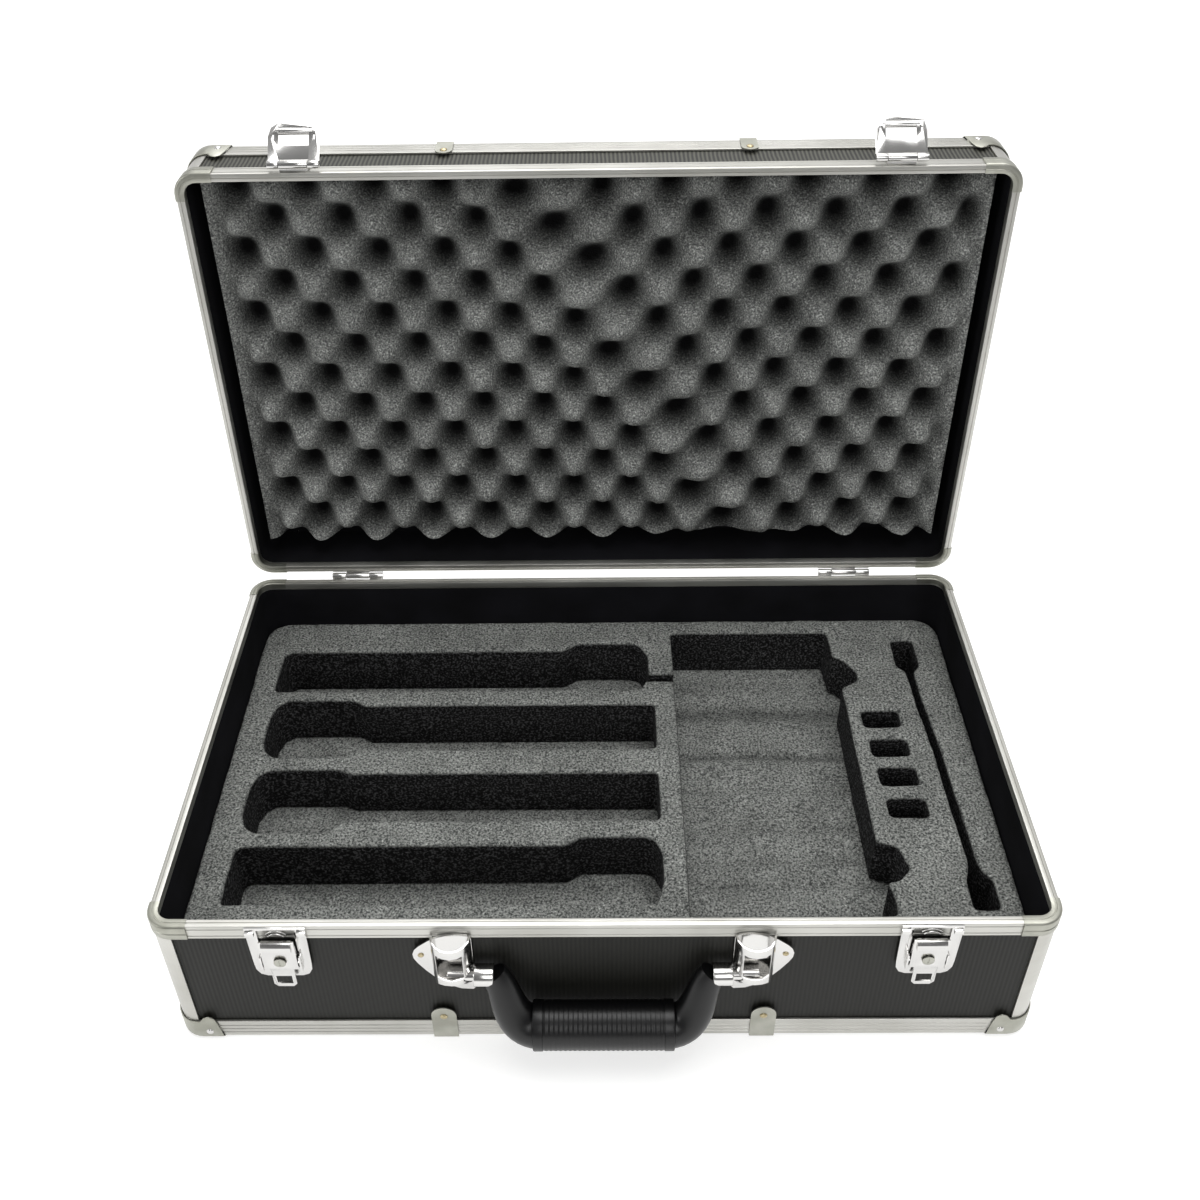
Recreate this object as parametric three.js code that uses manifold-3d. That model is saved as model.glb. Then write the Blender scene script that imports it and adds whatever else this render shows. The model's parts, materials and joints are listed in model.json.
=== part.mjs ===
// Aluminium attache case with a die-cut foam insert, standing open.
// Millimetres, +X to the right, +Y to the back, +Z up.
// Origin: the middle of the bottom board's underside.
import * as THREE from "three";
import { mergeVertices } from "three/addons/utils/BufferGeometryUtils.js";
import Module from "manifold-3d";

const wasm = await Module();
wasm.setup();

// ---------------------------------------------------------------- driving dimensions
const CASE_WIDTH = 480;
const CASE_DEPTH = 285;
const PARTING_HEIGHT = 101; // bottom board's underside to the parting plane
const LID_DEPTH = 46; // parting plane to the lid's outer edge
const LID_OPEN_DEG = 91;
const CORNER_RADIUS = 13; // upright corners, over the aluminium
const FIT = 0.3; // clearance between touching pieces
const WALL = 1.1; // aluminium extrusion
const BOARD = 2.3; // side boards
const FLOOR_BOARD = 3; // bottom and lid boards
const RIM_GAP = 0.4; // each rim's parting face to the parting plane
const RIM_LEG = 10; // outer leg of the parting-line extrusion
const RIM_TOP = 4.8; // width of its parting face
const RIM_WEB = 2.2;
const RIM_LIP = 5; // depth of its inner lip
const EDGE_LEG = 15; // outer leg of the outer edge extrusion
const EDGE_FLANGE = 13.5; // its flange over the bottom or lid board
const EDGE_PROUD = 1.5; // flange beyond the board's outer face
const EDGE_BEVEL = 1.5;
const COVER = 0.8; // pressed steel corners
const HINGE_OUT = 3.2; // hinge axis behind the case
const HINGE_X = 168.5;
const HINGE_LENGTH = 35;
const LATCH_X = 171; // latches and hasps either side of the middle
const HASP_OUT = 3.9; // hasp axis in front of the lid
const HASP_RISE = 3.2; // hasp axis beyond the parting plane
const HASP_OPEN_DEG = 130; // from latched to resting on its stop
const HASP_LENGTH = 24.4;
const HASP_WINDOW = [11.1, 22]; // from its axis
const HASP_ROLL = 20.1; // curled bar across the window, from its axis
const LEVER_AXIS_OUT = 2.8;
const LEVER_AXIS_HEIGHT = 74;
const LEVER_FACE = 4.5; // its front face in front of the case
const LEVER_TOP = 92.7;
const LEVER_BOTTOM = 69.5; // where the pull loop starts
const LEVER_LOOP_END = 53.6;
const KEY_HEIGHT = 76;
const HANDLE_AXIS_OUT = 6.2;
const HANDLE_AXIS_HEIGHT = 66.4;
const HANDLE_DROP = 36.6; // handle axis to the grip's middle
const HANDLE_TILT_DEG = 11.5; // how far the hanging grip stands off the front
const GRIP_HALF_LENGTH = 38.5;
const HOUSING_X = 80; // handle housings either side of the middle
const FOAM_TOP = 64.3;
const FOAM_CUT = 36; // thickness of the die-cut foam layer
const LID_FOAM_PEAK = 8; // lid foam peaks beyond the parting plane
const LID_FOAM_PIT = 26;
const EGG_PITCH_X = 38;
const EGG_PITCH_Y = 42;

const HALF_WIDTH = CASE_WIDTH / 2;
const HALF_DEPTH = CASE_DEPTH / 2;
const FRONT = -HALF_DEPTH;
const BOARD_INSET = WALL + FIT;
const COVER_OUT = COVER + FIT;
const ARC_STEPS = 4;
const ROUND_STEPS = 20;

// ---------------------------------------------------------------- materials
function metal(hex, roughness) {
  return new THREE.MeshStandardMaterial({ color: hex, roughness, metalness: 1 });
}

function plain(hex, roughness) {
  return new THREE.MeshStandardMaterial({ color: hex, roughness, metalness: 0 });
}

const finishes = {
  aluminium: () => metal(0xc9c8c3, 0.35),
  pressedMetal: () => metal(0xa9aaa2, 0.4),
  chrome: () => metal(0xdedddc, 0.12),
  board: () => plain(0x33332f, 0.55),
  foam: () => plain(0x4a4b4c, 0.95),
  grip: () => plain(0x17181a, 0.35),
};

// ---------------------------------------------------------------- solids
function solid(geometry) {
  const bare = geometry.index ? geometry.toNonIndexed() : geometry.clone();
  bare.deleteAttribute("normal");
  bare.deleteAttribute("uv");
  const merged = mergeVertices(bare, 1e-4);
  return new wasm.Manifold(
    new wasm.Mesh({
      numProp: 3,
      vertProperties: merged.attributes.position.array,
      triVerts: new Uint32Array(merged.index.array),
    }),
  );
}

function geometryOf(manifold) {
  const mesh = manifold.getMesh();
  const geometry = new THREE.BufferGeometry();
  geometry.setAttribute("position", new THREE.BufferAttribute(mesh.vertProperties, 3));
  geometry.setIndex(new THREE.BufferAttribute(mesh.triVerts, 1));
  return geometry;
}

function box(x0, x1, y0, y1, z0, z1) {
  const geometry = new THREE.BoxGeometry(x1 - x0, y1 - y0, z1 - z0);
  return geometry.translate((x0 + x1) / 2, (y0 + y1) / 2, (z0 + z1) / 2);
}

// A rod along X, from x0 to x1.
function rodX(radius, x0, x1, y = 0, z = 0, steps = ROUND_STEPS) {
  const geometry = new THREE.CylinderGeometry(radius, radius, x1 - x0, steps);
  return geometry.rotateZ(Math.PI / 2).translate((x0 + x1) / 2, y, z);
}

// A rod along Y, from y0 to y1.
function rodY(radius, y0, y1, x, z, steps = ROUND_STEPS) {
  const geometry = new THREE.CylinderGeometry(radius, radius, y1 - y0, steps);
  return geometry.translate(x, (y0 + y1) / 2, z);
}

function outline(points) {
  return new THREE.Shape(points.map(([x, y]) => new THREE.Vector2(x, y)));
}

// A plan outline raised from z0 to z1.
function raised(shape, z0, z1, curveSegments = ARC_STEPS) {
  const geometry = new THREE.ExtrudeGeometry(shape, {
    depth: z1 - z0,
    bevelEnabled: false,
    curveSegments,
  });
  return geometry.translate(0, 0, z0);
}

// A front outline (x, z) given thickness from y0 to y1.
function facing(shape, y0, y1, curveSegments = ARC_STEPS) {
  const geometry = new THREE.ExtrudeGeometry(shape, {
    depth: y1 - y0,
    bevelEnabled: false,
    curveSegments,
  });
  return geometry.rotateX(Math.PI / 2).translate(0, y1, 0);
}

// A side outline (y, z) run along X from x0 to x1.
function alongX(points, x0, x1) {
  const geometry = new THREE.ExtrudeGeometry(outline(points), {
    depth: x1 - x0,
    bevelEnabled: false,
  });
  return geometry.rotateX(Math.PI / 2).rotateZ(Math.PI / 2).translate(x0, 0, 0);
}

// The case's plan outline, moved in by inset, with its upright corners rounded.
function planOutline(inset) {
  const x = HALF_WIDTH - inset;
  const y = HALF_DEPTH - inset;
  const r = Math.max(CORNER_RADIUS - inset, 0.5);
  const shape = new THREE.Shape();
  shape.moveTo(x, -y + r);
  shape.lineTo(x, y - r);
  shape.absarc(x - r, y - r, r, 0, Math.PI / 2);
  shape.lineTo(-x + r, y);
  shape.absarc(-x + r, y - r, r, Math.PI / 2, Math.PI);
  shape.lineTo(-x, -y + r);
  shape.absarc(-x + r, -y + r, r, Math.PI, 1.5 * Math.PI);
  shape.lineTo(x - r, -y);
  shape.absarc(x - r, -y + r, r, 1.5 * Math.PI, 2 * Math.PI);
  return shape;
}

function slab(inset, z0, z1) {
  return solid(raised(planOutline(inset), z0, z1));
}

// The same, with both its outer edges bevelled.
function bevelledPlan(inset, z0, z1, bevel) {
  const geometry = new THREE.ExtrudeGeometry(planOutline(inset), {
    depth: z1 - z0 - 2 * bevel,
    bevelEnabled: true,
    bevelThickness: bevel,
    bevelSize: bevel,
    bevelOffset: -bevel,
    bevelSegments: 1,
    curveSegments: ARC_STEPS,
  });
  return geometry.translate(0, 0, z0 + bevel);
}

// ---------------------------------------------------------------- assembly groups
const caseGroup = new THREE.Group();

// The lid is drawn closed, about its hinge axis, and then swung open.
const lidGroup = new THREE.Group();
const HINGE_Y = HALF_DEPTH + HINGE_OUT;
lidGroup.position.set(0, HINGE_Y, PARTING_HEIGHT);
lidGroup.rotation.x = THREE.MathUtils.degToRad(-LID_OPEN_DEG);
const lidShift = new THREE.Group();
lidShift.position.set(0, -HINGE_Y, 0);
lidGroup.add(lidShift);
caseGroup.add(lidGroup);

function add(group, name, shape, finish) {
  const geometry = shape.isBufferGeometry ? shape : geometryOf(shape);
  const mesh = new THREE.Mesh(geometry, finishes[finish]());
  mesh.name = name;
  group.add(mesh);
}

// Base and lid share one construction: level 0 is the parting plane, and height
// runs away from it, down in the base and up in the lid.
const halves = [
  {
    name: "base",
    board: "bottom_panel",
    group: caseGroup,
    depth: PARTING_HEIGHT,
    place: (manifold) => manifold.mirror([0, 0, 1]).translate([0, 0, PARTING_HEIGHT]),
  },
  {
    name: "lid",
    board: "top_panel",
    group: lidShift,
    depth: LID_DEPTH - EDGE_PROUD,
    place: (manifold) => manifold,
  },
];

// ---------------------------------------------------------------- the shell
function rim() {
  const foot = RIM_GAP + RIM_LEG;
  const web = RIM_GAP + RIM_WEB;
  const slotTop = slab(WALL, web, foot + 1).subtract(slab(RIM_TOP - COVER, web - 1, foot + 2));
  const lipTrim = slab(WALL, RIM_GAP + RIM_LIP, foot + 1);
  const opening = slab(RIM_TOP, 0, foot + 2);
  const ring = slab(0, RIM_GAP, foot).subtract(slotTop).subtract(lipTrim).subtract(opening);
  const seat = solid(cornerBlock(RIM_CORNER_LEG_X + FIT, RIM_CORNER_LEG_Y + FIT, 0, 1.7));
  return corners.reduce((cut, corner) => cut.subtract(atCorner(seat, corner)), ring);
}

// The L-section frame round the bottom board, or round the lid board.
function edgeFrame(depth) {
  const outside = depth + EDGE_PROUD;
  const start = outside - EDGE_LEG;
  const bevelled = solid(bevelledPlan(0, outside - 6, outside, EDGE_BEVEL));
  const block = slab(0, start, outside - 3).add(bevelled);
  const inside = slab(WALL, start - 1, depth + FIT);
  const window = slab(EDGE_FLANGE, start - 1, outside + 1);
  return block.subtract(inside).subtract(window);
}

function cornerBlock(legX, legY, z0, z1) {
  return box(HALF_WIDTH - legX, HALF_WIDTH + 5, HALF_DEPTH - legY, HALF_DEPTH + 5, z0, z1);
}

function cornerPost(depth) {
  const top = RIM_GAP + RIM_LEG + FIT;
  const bottom = depth + EDGE_PROUD - EDGE_LEG - FIT;
  const ring = slab(0, top, bottom).subtract(slab(BOARD_INSET + BOARD, top - 1, bottom + 1));
  const reach = CORNER_RADIUS - FIT;
  return ring.intersect(solid(cornerBlock(reach, reach, 0, depth)));
}

const RIM_CORNER_LEG_X = 22;
const RIM_CORNER_LEG_Y = 16;

// A pressed cap over the rim's corner, wrapping its parting face.
function rimCorner() {
  const foot = RIM_GAP + RIM_LEG;
  const skin = slab(-COVER_OUT, RIM_GAP, foot).subtract(slab(-FIT, RIM_GAP + 1, foot + 1));
  const cap = skin.subtract(slab(RIM_TOP, -1, foot + 2));
  return cap.intersect(solid(cornerBlock(RIM_CORNER_LEG_X, RIM_CORNER_LEG_Y, 0, foot)));
}

// Side view of a ball corner: distance from the corner, height from the outer face.
const LOBE = [
  [-2, -2],
  [25.2, -2],
  [22.6, 14],
  [21.6, 18.4],
  [18.8, 20.6],
  [15.8, 19.2],
  [13.4, 15.8],
  [-2, 14.5],
];

function ballCorner(depth) {
  const outside = depth + EDGE_PROUD;
  const skin = slab(-COVER_OUT, outside - 24, outside - 3)
    .add(solid(bevelledPlan(-COVER_OUT, outside - 8, outside + COVER_OUT, 2.6)))
    .subtract(slab(-FIT, outside - 25, outside - 3))
    .subtract(solid(bevelledPlan(-FIT, outside - 8, outside + FIT, EDGE_BEVEL)));
  const frontLobe = LOBE.map(([inward, height]) => [HALF_WIDTH - inward, outside - height]);
  const sideLobe = LOBE.map(([inward, height]) => [HALF_DEPTH - inward, outside - height]);
  const acrossFront = facing(outline(frontLobe), HALF_DEPTH - CORNER_RADIUS, HALF_DEPTH + 3);
  const acrossSide = alongX(sideLobe, HALF_WIDTH - CORNER_RADIUS, HALF_WIDTH + 3);
  return skin.intersect(solid(acrossFront).add(solid(acrossSide)));
}

// The four upright corners, by mirroring the back right one.
const corners = [
  { name: "rear_right", flips: [] },
  { name: "rear_left", flips: [[1, 0, 0]] },
  { name: "front_right", flips: [[0, 1, 0]] },
  { name: "front_left", flips: [[1, 0, 0], [0, 1, 0]] },
];

function atCorner(manifold, corner) {
  return corner.flips.reduce((turned, axis) => turned.mirror(axis), manifold);
}

function sideBoards(depth) {
  const top = RIM_GAP + RIM_WEB + FIT;
  const bottom = depth - FLOOR_BOARD - FIT;
  const x = HALF_WIDTH - CORNER_RADIUS;
  const y = HALF_DEPTH - CORNER_RADIUS;
  const xOut = HALF_WIDTH - BOARD_INSET;
  const yOut = HALF_DEPTH - BOARD_INSET;
  return {
    front_panel: box(-x, x, -yOut, -yOut + BOARD, top, bottom),
    rear_panel: box(-x, x, yOut - BOARD, yOut, top, bottom),
    left_panel: box(-xOut, -xOut + BOARD, -y, y, top, bottom),
    right_panel: box(xOut - BOARD, xOut, -y, y, top, bottom),
  };
}

function buildShell(half) {
  const put = (name, manifold, finish) =>
    add(half.group, half.name + "_" + name, half.place(manifold), finish);
  put("rim", rim(), "aluminium");
  put("edge_frame", edgeFrame(half.depth), "aluminium");
  const boards = sideBoards(half.depth);
  Object.entries(boards).forEach(([name, geometry]) => put(name, solid(geometry), "board"));
  put(half.board, slab(BOARD_INSET, half.depth - FLOOR_BOARD, half.depth), "board");
  for (const corner of corners) {
    put("post_" + corner.name, atCorner(cornerPost(half.depth), corner), "aluminium");
    put("rim_corner_" + corner.name, atCorner(rimCorner(), corner), "pressedMetal");
    put("ball_corner_" + corner.name, atCorner(ballCorner(half.depth), corner), "pressedMetal");
  }
}

halves.forEach(buildShell);

// ---------------------------------------------------------------- foam
const FOAM_HALF_WIDTH = 234;
const FOAM_HALF_DEPTH = 137.5;

// Plan views of what the die-cut layer holds, left to right and back to front.
const handsetPockets = [
  [[-218, 69.5], [27, 69.5], [32, 83.5], [32, 102], [27, 112], [20, 114.5], [-16, 114.5],
    [-26, 107.5], [-214, 107.5], [-218, 104]],
  [[-207, 10.5], [-162, 10.5], [-155, 16.5], [35, 16.5], [35, 55.5], [-155, 55.5],
    [-163, 60.5], [-207, 60.5], [-213, 56], [-216, 46], [-216, 24], [-213, 15]],
  [[-208, -49.5], [-163, -49.5], [-156, -41.5], [35, -41.5], [35, -4], [-156, -4],
    [-164, -0.5], [-208, -0.5], [-214, -5], [-217, -14], [-217, -36], [-214, -45]],
  [[-216, -101.5], [31, -101.5], [35, -86], [35, -66], [31, -57], [25, -54.5], [-12, -54.5],
    [-22, -60.5], [-212, -60.5], [-216, -64]],
];

const receiverPocket = [
  [49, -114.5], [154, -114.5], [156, -110.5], [164, -110.5], [164, -95.5], [162, -88],
  [170, -86.5], [177, -78], [172, -62.5], [160.5, -59], [160, 69.5], [171, 76], [172, 84],
  [165, 96], [158, 101], [157, 124.5], [49, 124.5],
];

const antennaPocket = [
  [207, -106.5], [222, -106.5], [222, -87], [217, -79], [215.7, -71], [214.5, -30], [213.4, 15],
  [210.7, 60], [210.2, 84.5], [215, 90], [215, 115.5], [200, 115.5], [200, 90], [205.4, 84.5],
  [205.9, 60], [208.6, 15], [209.7, -30], [210.9, -71], [209.8, -79], [207, -87],
];

const adapterPockets = [33.5, 8.5, -15.5, -40.5].map((y, i) => [
  [169 + i, y], [193 + i, y], [193 + i, y + 14.5], [169 + i, y + 14.5],
]);

function roundedPlan(halfWidth, halfDepth, r) {
  const shape = new THREE.Shape();
  shape.moveTo(halfWidth, -halfDepth + r);
  shape.lineTo(halfWidth, halfDepth - r);
  shape.absarc(halfWidth - r, halfDepth - r, r, 0, Math.PI / 2);
  shape.lineTo(-halfWidth + r, halfDepth);
  shape.absarc(-halfWidth + r, halfDepth - r, r, Math.PI / 2, Math.PI);
  shape.lineTo(-halfWidth, -halfDepth + r);
  shape.absarc(-halfWidth + r, -halfDepth + r, r, Math.PI, 1.5 * Math.PI);
  shape.lineTo(halfWidth - r, -halfDepth);
  shape.absarc(halfWidth - r, -halfDepth + r, r, 1.5 * Math.PI, 2 * Math.PI);
  return shape;
}

const foamPlan = roundedPlan(FOAM_HALF_WIDTH, FOAM_HALF_DEPTH, 16);

function foamPad() {
  return raised(foamPlan, FLOOR_BOARD + FIT, FOAM_TOP - FOAM_CUT - FIT);
}

function foamInsert() {
  const bottom = FOAM_TOP - FOAM_CUT;
  const layer = solid(raised(foamPlan, bottom, FOAM_TOP));
  const pockets = [...handsetPockets, receiverPocket, antennaPocket, ...adapterPockets];
  const lead = solid(box(28, 52, 77.5, 83.5, FOAM_TOP - 12, FOAM_TOP + 1));
  return pockets.reduce(
    (cut, pocket) => cut.subtract(solid(raised(outline(pocket), bottom - 1, FOAM_TOP + 1))),
    layer.subtract(lead),
  );
}

// Egg-crate foam, its bumps facing the parting plane.
function lidFoam() {
  const halfWidth = 229;
  const front = -137;
  const back = 124;
  const rise = LID_FOAM_PIT - LID_FOAM_PEAK;
  const back0 = LID_DEPTH - EDGE_PROUD - FLOOR_BOARD - FIT;
  const block = new THREE.BoxGeometry(2 * halfWidth, back - front, 10, 48, 25, 1);
  block.translate(0, (front + back) / 2, 0);
  const position = block.attributes.position;
  for (let i = 0; i < position.count; i += 1) {
    const wave =
      Math.cos((2 * Math.PI * position.getX(i)) / EGG_PITCH_X) *
      Math.cos((2 * Math.PI * (position.getY(i) - front)) / EGG_PITCH_Y);
    const bumpy = LID_FOAM_PEAK + rise * (0.5 + 0.5 * wave);
    position.setZ(i, position.getZ(i) < 0 ? bumpy : back0 + 5);
  }
  const trim = box(-300, 300, -200, 200, 0, back0);
  return solid(block).intersect(solid(trim));
}

add(caseGroup, "base_foam_pad", foamPad(), "foam");
add(caseGroup, "base_foam_insert", foamInsert(), "foam");
add(lidShift, "lid_foam", lidFoam(), "foam");

// ---------------------------------------------------------------- latches
// Drawn round x = 0 with outward distances from the case's front face.
function ahead(out) {
  return FRONT - out;
}

function frontPlate(points, out0, out1) {
  return solid(facing(outline(points), ahead(out1), ahead(out0)));
}

function block(x0, x1, out0, out1, z0, z1) {
  return solid(box(x0, x1, ahead(out1), ahead(out0), z0, z1));
}

function latchPlate() {
  const top = PARTING_HEIGHT - RIM_GAP;
  const plate = frontPlate(
    [[-16, top], [-15.4, 70], [-15, 65], [-13, 61], [-9.5, 59.4], [9.5, 59.4], [13, 61],
      [15, 65], [15.4, 70], [16, top]],
    FIT,
    FIT + 1,
  );
  const cheek = block(9.9, 10.9, FIT + 0.9, 4.2, 67, 79);
  const bar = block(11.2, 15.9, FIT + 0.9, 2.5, 95, 98.2);
  const axle = solid(rodX(1.2, -13, 13, ahead(LEVER_AXIS_OUT), LEVER_AXIS_HEIGHT, 12));
  return plate
    .subtract(block(-9.9, 9.9, 0, 3, 67, 98.8))
    .add(cheek)
    .add(cheek.mirror([1, 0, 0]))
    .add(bar)
    .add(bar.mirror([1, 0, 0]))
    .subtract(axle);
}

// Spring catch: the nose at the top holds the hasp, the loop at the bottom frees it.
function latchLever() {
  const face = block(-9.2, 9.2, LEVER_FACE - 1, LEVER_FACE, LEVER_BOTTOM, LEVER_TOP);
  const flank = block(8.2, 9.2, 1.7, LEVER_FACE, LEVER_BOTTOM, 88);
  const nose = block(-7.8, 7.8, 3, 6.4, 86.3, LEVER_TOP);
  const nosePlane = [[ahead(6.5), 90.4], [ahead(6.5), 93], [ahead(5), 93]];
  const loopTop = LEVER_BOTTOM + 1;
  const loop = frontPlate(
    [[-6.2, loopTop], [-6.2, 56], [-4.2, LEVER_LOOP_END], [4.2, LEVER_LOOP_END], [6.2, 56],
      [6.2, loopTop]],
    2.9,
    4.1,
  );
  const finger = block(-4.2, 4.2, 1, 6, 56.2, 63);
  const axle = solid(rodX(0.9, -10.9, 10.9, ahead(LEVER_AXIS_OUT), LEVER_AXIS_HEIGHT, 12));
  const keyHole = solid(rodY(2.6, ahead(6), ahead(1), 0, KEY_HEIGHT));
  const chamfer = solid(alongX(nosePlane, -9, 9));
  return face
    .add(flank)
    .add(flank.mirror([1, 0, 0]))
    .add(nose.subtract(chamfer))
    .add(loop)
    .add(axle)
    .subtract(finger)
    .subtract(keyHole);
}

function keyCylinder() {
  const barrel = solid(rodY(2.2, ahead(5), ahead(2.9), 0, KEY_HEIGHT));
  const face = solid(rodY(3.3, ahead(5.4), ahead(4.8), 0, KEY_HEIGHT));
  const slot = block(-0.4, 0.4, 5, 6, KEY_HEIGHT - 1.9, KEY_HEIGHT + 1.9);
  return barrel.add(face).subtract(slot);
}

// The hasps belong to the lid, and hang from a leaf on its front.
const HASP_Y = ahead(HASP_OUT);
const HASP_KNUCKLE = 2.3;

function haspMount() {
  const leaf = frontPlate([[-8, 2.2], [8, 2.2], [9, 16], [6, 18], [-6, 18], [-9, 16]], FIT, 1.3);
  const knuckle = solid(rodX(HASP_KNUCKLE, -8, 8, HASP_Y, HASP_RISE));
  const neck = block(-8, 8, 0.9, 3, HASP_RISE - 0.9, HASP_RISE + 2.1);
  const pin = solid(rodX(1, -14.6, 14.6, HASP_Y, HASP_RISE, 12));
  return leaf.add(neck).add(knuckle).add(pin);
}

// Drawn latched, hanging down from its axis, then turned out to its stop.
function hasp() {
  const end = HASP_RISE - HASP_LENGTH;
  const inner = LEVER_FACE + 0.4;
  const plate = frontPlate(
    [[-14.6, HASP_RISE], [-14.6, end + 8], [-12.8, end + 2.6], [-8.5, end], [8.5, end],
      [12.8, end + 2.6], [14.6, end + 8], [14.6, HASP_RISE]],
    inner,
    inner + 1,
  );
  const window = block(-8.7, 8.7, 1, 8, HASP_RISE - HASP_WINDOW[1], HASP_RISE - HASP_WINDOW[0]);
  const knuckleSpace = block(-8.4, 8.4, 0, 8, HASP_RISE - 3.2, HASP_RISE + 4);
  const eye = solid(rodX(HASP_KNUCKLE, 8.4, 14.6, HASP_Y, HASP_RISE));
  const eyes = eye.add(eye.mirror([1, 0, 0]));
  const bar = solid(rodX(1.9, -10.5, 10.5, ahead(inner + 1.7), HASP_RISE - HASP_ROLL, 20));
  const slot = block(11.1, 12.1, 1, 8, end + 6.5, end + 9.6);
  const bore = solid(rodX(1.3, -20, 20, HASP_Y, HASP_RISE, 12));
  return plate
    .subtract(window)
    .subtract(slot)
    .subtract(slot.mirror([1, 0, 0]))
    .add(eyes)
    .add(bar)
    .subtract(knuckleSpace)
    .subtract(bore);
}

function turnedOut(manifold) {
  return manifold
    .translate([0, -HASP_Y, -HASP_RISE])
    .rotate([-HASP_OPEN_DEG, 0, 0])
    .translate([0, HASP_Y, HASP_RISE]);
}

const sides = [
  { name: "left", sign: -1 },
  { name: "right", sign: 1 },
];

for (const side of sides) {
  const at = [side.sign * LATCH_X, 0, 0];
  add(caseGroup, "latch_plate_" + side.name, latchPlate().translate(at), "chrome");
  add(caseGroup, "latch_lever_" + side.name, latchLever().translate(at), "chrome");
  add(caseGroup, "key_cylinder_" + side.name, keyCylinder().translate(at), "chrome");
  add(lidShift, "hasp_mount_" + side.name, haspMount().translate(at), "chrome");
  add(lidShift, "hasp_" + side.name, turnedOut(hasp()).translate(at), "chrome");
}

// ---------------------------------------------------------------- hinges
const KNUCKLE = 2.2;

function hingeLeaf(spans, reach, pin) {
  const leafEnd = HALF_DEPTH + 1.3;
  const plate = box(-HINGE_LENGTH / 2, HINGE_LENGTH / 2, HALF_DEPTH + FIT, leafEnd, 1.8, reach);
  const whole = spans.reduce((leaf, [x0, x1]) => {
    const barrel = solid(rodX(KNUCKLE, x0, x1, HINGE_Y, 0));
    const web = solid(box(x0, x1, leafEnd - 0.4, HINGE_Y - 0.6, 0.9, 2.2));
    return leaf.add(barrel).add(web);
  }, solid(plate));
  const rod = solid(rodX(0.9, -HINGE_LENGTH / 2, HINGE_LENGTH / 2, HINGE_Y, 0, 12));
  const bore = solid(rodX(1.2, -HINGE_LENGTH, HINGE_LENGTH, HINGE_Y, 0, 12));
  return pin ? whole.add(rod) : whole.subtract(bore);
}

for (const side of sides) {
  const outer = HINGE_LENGTH / 2;
  const inner = 8;
  const at = [side.sign * HINGE_X, 0, 0];
  const baseLeaf = hingeLeaf([[-outer, -inner - FIT], [inner + FIT, outer]], 16, false);
  const lidLeaf = hingeLeaf([[-inner, inner]], 16, true);
  const lowered = halves[0].place(baseLeaf.translate(at));
  add(caseGroup, "hinge_base_leaf_" + side.name, lowered, "chrome");
  add(lidShift, "hinge_lid_leaf_" + side.name, lidLeaf.translate(at), "chrome");
}

// ---------------------------------------------------------------- handle
// Drawn for the right-hand end, then mirrored.
function handleBracket() {
  const plate = frontPlate(
    [[69, 92], [71, 94], [77, 94.8], [86, 93.6], [92, 89.6], [97.2, 85], [99.8, 81.8],
      [100.9, 78.3], [100.6, 74.6], [98.8, 70.4], [95, 64], [90, 57], [84, 50.5], [77, 47],
      [70.5, 46.4], [69, 48.5]],
    FIT,
    1.5,
  );
  const outer = solid(raised(housingPlan(10.8, 10.4), 54, 93.5));
  const inner = solid(raised(housingPlan(9.6, 9.2), 57, 95));
  const window = block(HOUSING_X - 6.5, HOUSING_X + 7.5, 6.5, 13, 68.5, 87.5);
  const axle = solid(rodX(3.4, 60, 79, ahead(HANDLE_AXIS_OUT), HANDLE_AXIS_HEIGHT));
  const under = [[ahead(0), 50], [ahead(14), 50], [ahead(14), 66], [ahead(10.6), 63.6],
    [ahead(1.3), 56]];
  const housing = outer.subtract(inner).subtract(window).subtract(axle);
  const wedge = solid(alongX(under, 60, 100));
  const floor = outer.intersect(solid(alongX(sloping(under, 1.2), 60, 100))).subtract(axle);
  return housing.subtract(wedge).add(floor).subtract(wedge).add(plate);
}

// The same side outline, raised.
function sloping(points, rise) {
  return points.map(([y, z]) => [y, z + rise]);
}

// Half an ellipse standing out from the bracket's plate.
function housingPlan(halfWidth, depth) {
  const shape = new THREE.Shape();
  shape.moveTo(HOUSING_X - halfWidth, ahead(1.3));
  shape.absellipse(HOUSING_X, ahead(1.3), halfWidth, depth, Math.PI, 2 * Math.PI, false, 0);
  return shape;
}

function handlePivot() {
  const spindle = solid(rodX(3, 71, 83, ahead(HANDLE_AXIS_OUT), HANDLE_AXIS_HEIGHT, 16));
  const neck = solid(rodX(6, 58, 68.6, ahead(HANDLE_AXIS_OUT), HANDLE_AXIS_HEIGHT));
  const shoulder = solid(rodX(3, 68, 72, ahead(HANDLE_AXIS_OUT), HANDLE_AXIS_HEIGHT, 16));
  return spindle.add(shoulder).add(neck);
}

function arm() {
  const path = new THREE.CubicBezierCurve3(
    new THREE.Vector3(60, 0, 2),
    new THREE.Vector3(51, 0, -14),
    new THREE.Vector3(51, 0, -HANDLE_DROP),
    new THREE.Vector3(36, 0, -HANDLE_DROP),
  );
  const section = new THREE.Shape();
  section.absellipse(0, 0, 6.6, 7.4, 0, 2 * Math.PI);
  const sweep = new THREE.ExtrudeGeometry(section, {
    steps: 12,
    curveSegments: 8,
    extrudePath: path,
  });
  return solid(sweep).intersect(solid(box(0, 57.7, -30, 30, -100, 30)));
}

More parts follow.
